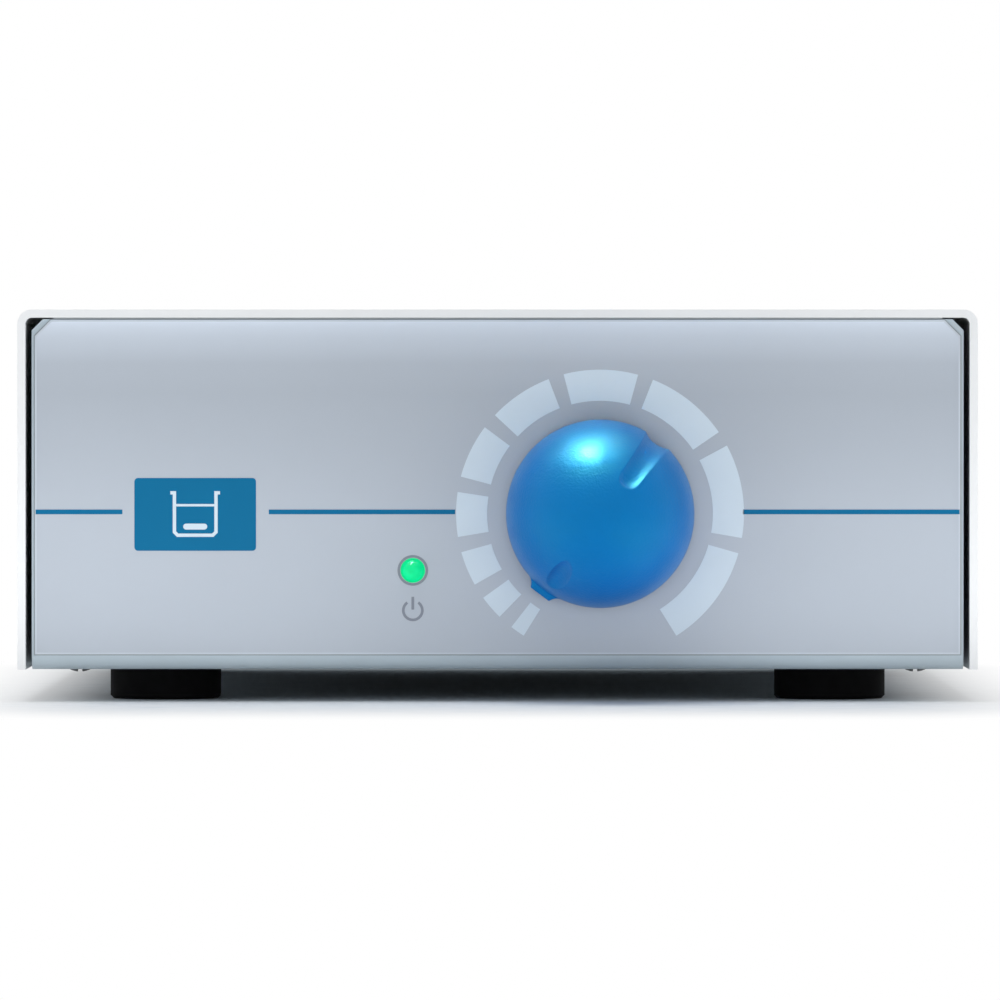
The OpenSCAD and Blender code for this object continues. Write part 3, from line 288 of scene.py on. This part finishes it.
finishes = {
    "cover_paint": powder_coat("cover_paint", (0.890, 0.904, 0.915), 0.50),
    "panel_film": panel_film(),
    "bare_steel": rolled_metal("bare_steel", (0.51, 0.60, 0.66), 0.48, metallic=0.3),
    "screw_steel": rolled_metal("screw_steel", (0.12, 0.13, 0.14), 0.38, (6, 6, 1), 1200, 0.9),
    "bright_steel": rolled_metal("bright_steel", (0.72, 0.73, 0.74), 0.26, (4, 4, 1), 1400),
    "knob_plastic": knob_plastic(),
    "foot_rubber": rubber("foot_rubber", (0.003, 0.003, 0.0035), 0.80),
    "lamp_lens": lamp_lens(),
    "black_plastic": moulded("black_plastic", (0.018, 0.018, 0.020), 0.42),
    "contact_metal": rolled_metal("contact_metal", (0.80, 0.74, 0.60), 0.24, (2, 2, 2), 1200),
    "brass_metal": rolled_metal("brass_metal", (0.72, 0.53, 0.26), 0.28, (1, 12, 1), 1000),
    "board_laminate": glass_fibre_board(),
    "capacitor_sleeve": moulded("capacitor_sleeve", (0.02, 0.035, 0.09), 0.3, 1200),
    "resistor_body": ink_banded_resistor(),
    "trimmer_plastic": moulded("trimmer_plastic", (0.03, 0.14, 0.45), 0.38),
    "connector_plastic": moulded("connector_plastic", (0.78, 0.75, 0.66), 0.45),
    "track_board": moulded("track_board", (0.19, 0.085, 0.035), 0.5, 1500),
    "wire_sleeve": moulded("wire_sleeve", (0.03, 0.03, 0.032), 0.45),
    "sink_metal": rolled_metal("sink_metal", (0.10, 0.105, 0.11), 0.45, (10, 10, 1), 900, 0.8),
    "hub_metal": rolled_metal("hub_metal", (0.77, 0.78, 0.79), 0.3, (1, 1, 16), 900),
    "ferrite": moulded("ferrite", (0.045, 0.043, 0.045), 0.65, 1400, 0.00003, 0.2),
    "core_steel": banded("core_steel", (0.42, 0.43, 0.45), (0.20, 0.20, 0.22), 0.4, 520, 0.9),
    "coil_copper": banded("coil_copper", (0.62, 0.24, 0.10), (0.22, 0.06, 0.03), 0.3, 640, 0.85,
                          0.00006),
    "magnet_coat": rolled_metal("magnet_coat", (0.68, 0.69, 0.71), 0.18, (1, 1, 1), 600),
    "sintered_bronze": moulded("sintered_bronze", (0.40, 0.26, 0.14), 0.5, 2600, 0.00003, 0.25,
                               Metallic=0.8),
}
sleeves = {
    "motor_wires": moulded("wire_sleeve_red", (0.42, 0.02, 0.02), 0.45),
    "switch_wires": moulded("wire_sleeve_blue", (0.02, 0.06, 0.32), 0.45),
}

slot_of = {p["node"]: p["material_slot"] for p in frame["record"]["subparts"]}
for name, obj in frame["nodes"].items():
    obj.data.materials.clear()
    obj.data.materials.append(sleeves.get(name) or finishes[slot_of[name]])


# ---- mesh helpers ----

def piece(name, points, faces, material, slot, body="root", smooth=False):
    mesh = bpy.data.meshes.new(name)
    mesh.from_pydata([tuple(p) for p in points], [], faces)
    mesh.validate()
    mesh.materials.append(material)
    if smooth:
        mesh.polygons.foreach_set("use_smooth", [True] * len(mesh.polygons))
    obj = bpy.data.objects.new(name, mesh)
    bpy.context.scene.collection.objects.link(obj)
    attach(obj, body)
    return obj


def print_mesh(outlines, y=FILM_Y, lift=0.03 * MM):
    """Closed slabs of ink on the film, each a strip of quads.

    An outline is two lines of (x, z) in mm, seen from the front: its left or upper side and its
    right or lower side.
    """
    points, faces = [], []
    for left, right in outlines:
        n = len(left)
        base = len(points)
        for depth in (y, y - lift):
            points += [(x * MM, depth, z * MM) for x, z in left]
            points += [(x * MM, depth, z * MM) for x, z in right]
        front = base + 2 * n
        for i in range(n - 1):
            faces.append((front + i, front + n + i, front + n + i + 1, front + i + 1))
            faces.append((base + i + 1, base + n + i + 1, base + n + i, base + i))
            faces.append((front + i + 1, base + i + 1, base + i, front + i))
            faces.append((front + n + i, base + n + i, base + n + i + 1, front + n + i + 1))
        faces.append((front, base, base + n, front + n))
        faces.append((front + n - 1, front + 2 * n - 1, base + 2 * n - 1, base + n - 1))
    return points, faces


def sector(cx, cz, inner, outer, start, end, step=1.0):
    """Strip between two arcs, in degrees clockwise from upright."""
    n = max(2, int(abs(end - start) / step) + 1)
    turns = [math.radians(start + (end - start) * i / (n - 1)) for i in range(n)]
    return ([(cx + outer * math.sin(t), cz + outer * math.cos(t)) for t in turns],
            [(cx + inner * math.sin(t), cz + inner * math.cos(t)) for t in turns])


def bar(x0, z0, x1, z1):
    return [(x0, z1), (x1, z1)], [(x0, z0), (x1, z0)]


def rounded_bar(x0, z0, x1, z1, r, steps=6):
    """Upright slices of a rounded rectangle, as one strip from left to right."""
    top, bottom = [], []
    turns = [math.pi / 2 * i / steps for i in range(steps + 1)]
    for t in turns:
        x = x0 + r - r * math.cos(t)
        top.append((x, z1 - r + r * math.sin(t)))
        bottom.append((x, z0 + r - r * math.sin(t)))
    for t in reversed(turns):
        x = x1 - r + r * math.cos(t)
        top.append((x, z1 - r + r * math.sin(t)))
        bottom.append((x, z0 + r - r * math.sin(t)))
    return top, bottom


def stroke(points, width, closed=False):
    """Strip of constant width along a line; a sharp corner is widened no further than 1 / 0.35."""
    p = [Vector((x, z)) for x, z in points]
    n = len(p)
    left, right = [], []
    for i in range(n + (1 if closed else 0)):
        here = p[i % n]
        before = p[(i - 1) % n] if closed or i > 0 else here - (p[1] - here)
        after = p[(i + 1) % n] if closed or i < n - 1 else here + (here - p[i - 1])
        a, b = (here - before).normalized(), (after - here).normalized()
        along = (a + b).normalized()
        mitre = max(0.35, math.sqrt((1 + a.dot(b)) / 2))
        side = Vector((-along.y, along.x)) * (width / 2 / mitre)
        left.append(tuple(here + side))
        right.append(tuple(here - side))
    return left, right


# ---- printing on the film, in mm ----

ring_ink = printed("ring_ink", (0.670, 0.780, 0.875))
blue_ink = printed("blue_ink", (0.0, 0.155, 0.330), 0.45, 0.0, 0.15)
grey_ink = printed("grey_ink", (0.235, 0.262, 0.320))

knob_x, knob_z = KNOB_X / MM, KNOB_Z / MM
ring_inner, ring_outer, ring_end = 14.1, 18.0, 148.0
mark_widths = [6 + 4 * i for i in range(10)]
mark_gap = (2 * ring_end - sum(mark_widths)) / (len(mark_widths) - 1)
turn = -ring_end
for i, wide in enumerate(mark_widths):
    mark = sector(knob_x, knob_z, ring_inner, ring_outer, turn, turn + wide)
    piece(f"speed_mark_{i + 1}", *print_mesh([mark]), ring_ink, "panel_film")
    turn += wide + mark_gap

line_z, line_w = 23.71, 0.58
for i, (x0, x1) in enumerate([(-57.75, -46.9), (-28.6, -5.3), (30.7, 57.75)]):
    line = bar(x0, line_z - line_w / 2, x1, line_z + line_w / 2)
    piece(f"blue_line_{i + 1}", *print_mesh([line]), blue_ink, "panel_film")
field = rounded_bar(-45.4, 18.85, -30.2, 27.95, 0.45)
piece("blue_field", *print_mesh([field]), blue_ink, "panel_film")

field_x, field_z = -37.8, 23.4
wall = [(-3.1, 2.7), (-2.6, 2.7), (-2.6, -2.2), (-2.2, -2.6),
        (2.2, -2.6), (2.6, -2.2), (2.6, 2.7), (3.1, 2.7)]
beaker = stroke([(field_x + x, field_z + z) for x, z in wall], 0.42)
liquid = bar(field_x - 2.4, field_z + 1.0, field_x + 2.4, field_z + 1.3)
stir_bar = rounded_bar(field_x - 1.5, field_z - 1.9, field_x + 1.5, field_z - 1.15, 0.37)
mark = print_mesh([beaker, liquid, stir_bar], lift=0.06 * MM)
piece("beaker_mark", *mark, ring_ink, "panel_film")


def film_outline(inset):
    """The film's outline, drawn in by inset; its two upper corners are cut."""
    x, low, high = film_high.x / MM - inset, film_low.z / MM + inset, film_high.z / MM - inset
    cut = 2.0 - inset * (2 - math.sqrt(2))
    return [(-x, low), (x, low), (x, high - cut),
            (x - cut, high), (-x + cut, high), (-x, high - cut)]


clear_edge = printed("film_clear_edge", (0.58, 0.64, 0.71), 0.3)
# A thin darker line is drawn on the metal just outside the film's edge.
border_ink = printed("film_dark_border", (0.31, 0.35, 0.38), 0.5, 0.0)
edge_line = stroke(film_outline(0.12), 0.22, True)
border_line = stroke(film_outline(-0.07), 0.13, True)
piece("film_edge", *print_mesh([edge_line], lift=0.02 * MM), clear_edge, "panel_film")
piece("film_dark_border_line", *print_mesh([border_line], y=film_high.y), border_ink, "bare_steel")

lamp_x, lamp_z = LAMP_X / MM, LAMP_Z / MM
lamp_ring = sector(lamp_x, lamp_z, 1.6, 1.92, 0, 360, 6)
power_ring = sector(lamp_x, lamp_z - 5.0, 1.02, 1.36, 35, 325, 6)
power_bar = bar(lamp_x - 0.17, lamp_z - 4.9, lamp_x + 0.17, lamp_z - 3.3)
piece("lamp_ring", *print_mesh([lamp_ring]), grey_ink, "panel_film")
piece("power_mark", *print_mesh([power_ring, power_bar]), grey_ink, "panel_film")


# ---- lip of the cover over the panel's top edge ----

def lip(name, half_width, y0, y1, z0, z1, nose=0.07):
    """Long strip under the cover's front edge, with a rounded nose, in mm; its grey is the cover's
    paint darkened as painted shade under that edge.
    """
    section = [(y1, z1), (y1, z0)]
    section += [(y0 + nose - nose * math.sin(t), z0 + nose - nose * math.cos(t))
                for t in (0, 0.4, 0.8, 1.2, 1.57)]
    section += [(y0, z1)]
    points = [(x * MM, y * MM, z * MM) for x in (-half_width, half_width) for y, z in section]
    n = len(section)
    faces = [(i, (i + 1) % n, n + (i + 1) % n, n + i) for i in range(n)]
    faces += [tuple(reversed(range(n))), tuple(range(n, 2 * n))]
    # Painted shade: the cover's paint made a darker grey, for the shade under the cover's front
    # edge.
    grey = powder_coat("cover_lip_shaded_paint", (0.46, 0.48, 0.49), 0.5)
    return piece(name, points, faces, grey, "cover_paint")


cover_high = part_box("cover")[1].z / MM
chassis_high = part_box("chassis")[1].z / MM
film_y = film_low.y / MM
sheet = 1.0
lip("cover_lip", half_width=55.6, y0=film_y + 0.25, y1=film_y + 0.8,
    z0=chassis_high + 0.01, z1=cover_high - sheet)


# ---- knob ----

def smooth_min(a, b, k):
    h = np.clip(0.5 + 0.5 * (b - a) / k, 0, 1)
    return b + (a - b) * h - k * h * (1 - h)


def turned(x, z, turn):
    """Components along and across a direction given in degrees clockwise from upright."""
    t = math.radians(turn)
    return x * math.sin(t) + z * math.cos(t), x * math.cos(t) - z * math.sin(t)


# The knob's forms, in mm and degrees. turn is clockwise from upright, start and at are from the
# crown, and sides are the steepness on the two sides.
POINTER = dict(turn=-143.0, reach=0.80, high=2.5, tip=1.40, root=2.7, taper=0.6, power=0.6,
               round=0.42)
GROOVE = dict(turn=37.0, start=29.0, radius=2.5, wider=1.5, deep=0.50, deeper=0.14,
              sides=(1.25, 0.95), round=0.10)
SCOOP = dict(turn=-145.0, at=53.0, radius=2.8, deep=0.66, slope=0.55, sides=(1.1, 1.7))
EDGE_ROUND = 0.09
FAR_OFF = 9.0


def knob_pointer(x, up, z):
    """Distance outside the blade that stands out of the skirt and narrows to its tip."""
    p = POINTER
    along, across = turned(x, z, p["turn"])
    out = np.clip((along - KNOB_R + p["taper"]) / (p["reach"] + p["taper"]), 0, 1)
    half = p["root"] + (p["tip"] - p["root"]) * out ** p["power"]
    return np.maximum(np.maximum(np.abs(across) - half, along - KNOB_R - p["reach"]),
                      np.maximum(up + KNOB_SKIRT - p["high"], -along))


def knob_groove(x, up, z):
    """Distance outside the long groove, which opens from a round end near the crown to the rim."""
    g = GROOVE
    along, across = turned(x, z, g["turn"])
    across = np.where(across < 0, across * g["sides"][0], across * g["sides"][1])
    from_crown = np.degrees(np.arctan2(along, up))
    share = np.clip((from_crown - g["start"]) / (90 - g["start"]), 0, 1)
    wide, deep = g["radius"] + g["wider"] * share, g["deep"] + g["deeper"] * share
    rho = np.sqrt(along * along + up * up)
    tube = np.sqrt((rho - KNOB_R + deep - wide) ** 2 + across * across) - wide
    tube = np.where(from_crown > g["start"], tube, FAR_OFF)
    c, s = math.cos(math.radians(g["start"])), math.sin(math.radians(g["start"]))
    centre = KNOB_R - g["deep"] + g["radius"]
    ball = np.sqrt((along - centre * s) ** 2 + across ** 2 + (up - centre * c) ** 2) - g["radius"]
    return smooth_min(tube, ball, g["round"])


def knob_scoop(x, up, z):
    """Distance outside the short scoop beside the pointer."""
    s = SCOOP
    along, across = turned(x, z, s["turn"])
    across = np.where(across > 0, across * s["sides"][1], across * s["sides"][0])
    rho = np.sqrt(along * along + up * up)
    slide = (np.arctan2(along, up) - math.radians(s["at"])) * KNOB_R
    depth = rho - KNOB_R + s["deep"] - s["radius"]
    return np.sqrt(depth ** 2 + across ** 2 + (slide * s["slope"]) ** 2) - s["radius"]


def knob_solid(x, up, z):
    """Distance outside the knob; up is the height above the dome's centre."""
    r = np.sqrt(x * x + z * z)
    body = np.where(up > 0, np.sqrt(r * r + up * up), r) - KNOB_R
    body = smooth_min(body, knob_pointer(x, up, z), POINTER["round"])
    cut = np.minimum(knob_groove(x, up, z), knob_scoop(x, up, z))
    return -smooth_min(-body, cut, EDGE_ROUND)


def knob_mesh(around=720, dome_rows=150, first_row=0.4, halvings=34):
    """Dome over a straight skirt, found along rays from the axis, with a plain hollow below."""
    turns = np.linspace(0, 2 * math.pi, around, endpoint=False)
    angles = np.radians(np.linspace(first_row, 90, dome_rows))
    dome = [(math.sin(a), math.cos(a), 0.0) for a in angles]
    drops = [0.12, 0.24, 0.32, 0.36, 0.39, 0.42, 0.45, 0.5, 0.6, 0.8, 1.1, 1.4, 1.7, 1.88,
             KNOB_SKIRT]
    rays = dome + [(1.0, 0.0, -d) for d in drops]
    within, beyond = 8.0, 14.5
    rows = []
    for out, rise, start in rays:
        dx, dz = out * np.sin(turns), out * np.cos(turns)
        low, high = np.full(around, within), np.full(around, beyond)
        for _ in range(halvings):
            mid = (low + high) / 2
            inside = knob_solid(mid * dx, start + mid * rise, mid * dz) < 0
            low, high = np.where(inside, mid, low), np.where(inside, high, mid)
        rows.append(np.stack([low * dx, start + low * rise, low * dz], 1))
    inner, ceiling, bevel, bore, bore_top = KNOB_R - 1.8, 5.2 - KNOB_SKIRT, 0.3, 3.1, 7.5
    for r, up in [(inner, -KNOB_SKIRT), (inner, ceiling - bevel), (inner - bevel, ceiling),
                  (bore, ceiling), (bore, bore_top)]:
        rows.append(np.stack([r * np.sin(turns), np.full(around, up), r * np.cos(turns)], 1))
    points = np.concatenate(rows + [[[0, KNOB_R, 0], [0, bore_top, 0]]])
    world = np.stack([KNOB_X + points[:, 0] * MM, KNOB_Y0 - points[:, 1] * MM,
                      KNOB_Z + points[:, 2] * MM], 1)
    after = [(j + 1) % around for j in range(around)]
    faces = []
    for a in range(0, (len(rows) - 1) * around, around):
        b = a + around
        faces += [(a + j, a + k, b + k, b + j) for j, k in enumerate(after)]
    top, end = len(rows) * around, len(rows) * around + 1
    last = top - around
    for j, k in enumerate(after):
        faces.append((top, k, j))
        faces.append((end, last + j, last + k))
    return world, faces


points, faces = knob_mesh()
knob = piece("knob_cap", points, faces, finishes["knob_plastic"], "knob_plastic", "knob",
             smooth=True)
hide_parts("knob")


# ---- floor, light and camera ----

def floor():
    """Pale floor that keeps the object's shadow, with painted shade that darkens it round the
    object for camera rays, and turns plain white where the shadow ends.
    """
    front, side, rear, below = -1.6, 1.6, 0.5, -0.00002
    mesh = bpy.data.meshes.new("floor")
    mesh.from_pydata([(-side, front, below), (side, front, below), (side, rear, below),
                      (-side, rear, below)], [], [(0, 1, 2, 3)])
    obj = bpy.data.objects.new("floor", mesh)
    bpy.context.scene.collection.objects.link(obj)
    s = Shader("floor_white", (0.93, 0.93, 0.93), 0.6)

    streaks = s.ramp(s.noise(700, 3, (0.25, 1, 1)),
                     [(0.30, (0.84, 0.86, 0.88)), (0.55, (0.96, 0.96, 0.96))])
    # Painted shadow: for camera rays the floor's colour is multiplied by (0.80, 0.83, 0.86), which
    # shows as a grey halo round the object until the fade to white.
    to_camera = s.node("ShaderNodeLightPath").outputs["Is Camera Ray"]
    floor_with_painted_shade = s.node("ShaderNodeBsdfDiffuse",
                  {"Color": s.multiply(streaks, (0.80, 0.83, 0.86, 1), to_camera)})

    # Distance past the object's half width and half depth, each counted at its own pace.
    place = s.node("ShaderNodeSeparateXYZ", {0: s.coords})
    squares = []
    for axis, half, pace in (("X", 0.045, 3.0), ("Y", 0.082, 1.5)):
        away = s.calculate("ABSOLUTE", place.outputs[axis])
        past = s.calculate("MULTIPLY_ADD", away, pace, -half * pace)
        squares.append(s.calculate("POWER", s.calculate("MAXIMUM", past, 0.0), 2.0))
    distance = s.calculate("SQRT", s.calculate("ADD", *squares))
    fade = {"Value": distance, "From Min": 0.0, "From Max": 0.09}
    far = s.node("ShaderNodeMapRange", fade, interpolation_type="SMOOTHSTEP")
    share = s.calculate("MULTIPLY", far.outputs["Result"], s.background_rays())
    white = s.node("ShaderNodeEmission", {"Strength": 1.0})
    both = s.node("ShaderNodeMixShader", {"Fac": share, 1: floor_with_painted_shade.outputs[0], 2: white.outputs[0]})
    s.link(both.outputs[0], s.out.inputs["Surface"])
    s.tree.nodes.remove(s.bsdf)
    mesh.materials.append(s.mat)


def softbox(name, at, towards, size, power, spread=180, matt=True, gloss=True):
    """Area lamp; matt and gloss say which kinds of surface it lights."""
    light = bpy.data.lights.new(name, "AREA")
    light.shape = "RECTANGLE"
    light.size, light.size_y = size
    light.energy = power
    light.spread = math.radians(spread)
    obj = bpy.data.objects.new(name, light)
    obj.location = at
    obj.rotation_euler = (Vector(towards) - Vector(at)).to_track_quat("-Z", "Y").to_euler()
    obj.visible_camera = False
    obj.visible_diffuse = matt
    obj.visible_glossy = gloss
    bpy.context.scene.collection.objects.link(obj)


floor()
softbox("overhead", at=(-0.06, -0.05, 0.50), towards=(-0.03, -0.05, 0), size=(0.28, 0.39),
        power=1.36)
# The knob's highlight, without a pool of light on what is round it.
softbox("sparkle", at=(-0.07, -0.145, 0.49), towards=(0.01, -0.098, 0.02), size=(0.12, 0.095),
        power=0.080, spread=15, matt=False)
# Light thrown up from the table on the panel's two lower sides.
for name, x in (("sill_left", -0.060), ("sill_right", 0.072)):
    softbox(name, at=(x, -0.113, 0.001), towards=(x, -0.113, 1), size=(0.09, 0.07), power=0.026,
            gloss=False)

world = bpy.data.worlds.new("studio")
bpy.context.scene.world = world
world.use_nodes = True
sky = Nodes(world.node_tree)

# Soft surroundings: bright along the horizon, dim above, and plain white as a background.
ways = sky.node("ShaderNodeTexCoord").outputs["Generated"]
height = sky.node("ShaderNodeSeparateXYZ", {0: ways}).outputs["Z"]
dimming = {"Value": height, "From Min": 0.0, "From Max": 0.5, "To Min": 1.12, "To Max": 0.36}
dimmed = sky.node("ShaderNodeMapRange", dimming, interpolation_type="SMOOTHSTEP")
soft = sky.tree.nodes["Background"]
soft.inputs["Color"].default_value = (0.97, 0.99, 1.0, 1)
sky.link(dimmed.outputs["Result"], soft.inputs["Strength"])
white = sky.node("ShaderNodeBackground", {"Color": (1, 1, 1, 1), "Strength": 1.0})
either = sky.node("ShaderNodeMixShader",
                  {"Fac": sky.background_rays(), 1: soft.outputs[0], 2: white.outputs[0]})
sky.link(either.outputs[0], sky.tree.nodes["World Output"].inputs["Surface"])

CAMERA_X, CAMERA_Z, CAMERA_AWAY, AIM_Z = 0.0003, 0.0370, 1.2, 0.0252
camera_data = bpy.data.cameras.new("camera")
camera_data.sensor_width = 36
camera_data.lens = 345.6
camera_data.clip_start = 0.05
camera_data.clip_end = 20
camera = bpy.data.objects.new("camera", camera_data)
camera.location = (CAMERA_X, FILM_Y - CAMERA_AWAY, CAMERA_Z)
camera.rotation_euler = (math.radians(90) - math.atan2(CAMERA_Z - AIM_Z, CAMERA_AWAY), 0, 0)
bpy.context.scene.collection.objects.link(camera)
bpy.context.scene.camera = camera
bpy.context.scene.view_settings.view_transform = "Standard"
